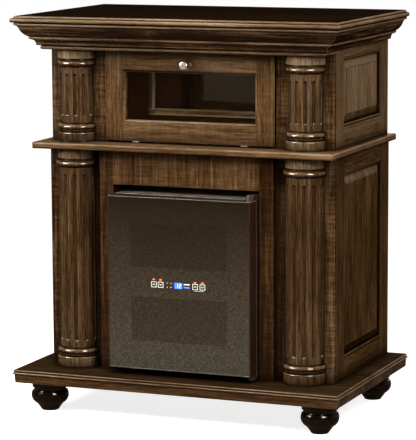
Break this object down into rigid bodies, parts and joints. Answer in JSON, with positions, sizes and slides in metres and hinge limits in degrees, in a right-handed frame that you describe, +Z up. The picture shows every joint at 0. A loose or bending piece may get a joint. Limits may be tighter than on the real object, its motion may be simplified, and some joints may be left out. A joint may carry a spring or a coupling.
{
  "type": "wine cabinet",
  "caption": "Dark wood bar cabinet with fluted half-columns, a mitred crown, a glazed drop door over hanging stemware rails and a built-in bottle cooler.",
  "frame": {"origin": "on the floor, in the middle of the cabinet's footprint", "axes": "-Y is the front with the doors, +X is the right side seen from the front, +Z is up"},
  "size_m": [1.026, 0.648, 1.18],
  "materials": {
    "walnut": "streaky brown stain under satin lacquer",
    "ebonised_walnut": "near-black stain under gloss lacquer",
    "inner_walnut": "brown stain, matt",
    "mirror": "silvered glass",
    "clear_glass": "clear",
    "smoked_glass": "smoked, with a black printed border",
    "nickel": "brushed nickel",
    "zinc_steel": "zinc plated",
    "black_case": "satin black skin over foam",
    "liner_plastic": "dark grey, matt",
    "black_plastic": "matt black",
    "black_metal": "satin black powder coat",
    "aluminium": "plain, extruded",
    "shelf_wire": "bright plated wire",
    "gasket": "matt black"
  },
  "bodies": {
    "root": {"base_slab": "walnut", "bun_feet": "ebonised_walnut", "foot_bolts": "zinc_steel", "lower_side_frame_left": "walnut", "lower_side_frame_right": "walnut", "lower_side_panel_left": "walnut", "lower_side_panel_right": "walnut", "upper_side_frame_left": "walnut", "upper_side_frame_right": "walnut", "upper_side_panel_left": "walnut", "upper_side_panel_right": "walnut", "lower_front_board_left": "walnut", "lower_front_board_right": "walnut", "upper_front_board_left": "walnut", "upper_front_board_right": "walnut", "lower_column_left": "walnut", "lower_column_right": "walnut", "upper_column_left": "walnut", "upper_column_right": "walnut", "bay_frame": "walnut", "bay_partitions": "inner_walnut", "ledge": "walnut", "back_panel": "inner_walnut", "compartment_sides": "inner_walnut", "compartment_back": "inner_walnut", "mirror_glass": "mirror", "mirror_frame": "walnut", "stemware_rack": "inner_walnut", "soffit_board": "walnut", "crown_backer": "inner_walnut", "crown_front": "walnut", "crown_left": "walnut", "crown_right": "walnut", "top_slab": "walnut", "ledge_hinge_leaves": "nickel", "door_catch": "black_plastic", "cooler_case": "black_case", "cooler_liner": "liner_plastic", "cooler_divider": "liner_plastic", "cooler_shelves": "shelf_wire", "cooler_cold_plates": "aluminium", "cooler_heat_sinks": "aluminium", "cooler_fan_frames": "black_plastic", "cooler_rear_cover": "black_metal", "power_inlet": "black_plastic", "cooler_feet": "black_plastic", "cooler_hinge_brackets": "black_metal"},
    "drop_door": {"door_frame": "walnut", "door_glass": "clear_glass", "door_glass_stops": "inner_walnut", "door_knob": "nickel", "door_hinge_leaves": "nickel"},
    "cooler_door": {"cooler_door_frame": "black_case", "cooler_door_glass": "smoked_glass", "cooler_inner_glass": "clear_glass", "cooler_door_gasket": "gasket", "control_panel": "black_plastic"},
    "upper_fan": {"fan_rotor_upper": "black_plastic"},
    "lower_fan": {"fan_rotor_lower": "black_plastic"}
  },
  "joints": [
    {"name": "drop_door_hinge", "type": "hinge", "parent": "root", "child": "drop_door", "pos_m": [0, -0.1716, 0.8089], "axis": [1, 0, 0], "range_deg": [0, 90]},
    {"name": "cooler_door_hinge", "type": "hinge", "parent": "root", "child": "cooler_door", "pos_m": [0.211, -0.225, 0.404], "axis": [0, 0, 1], "range_deg": [0, 95]},
    {"name": "upper_fan_spin", "type": "hinge", "parent": "root", "child": "upper_fan", "pos_m": [0, 0.247, 0.52325], "axis": [0, 1, 0], "continuous": true},
    {"name": "lower_fan_spin", "type": "hinge", "parent": "root", "child": "lower_fan", "pos_m": [0, 0.247, 0.28475], "axis": [0, 1, 0], "continuous": true}
  ]
}
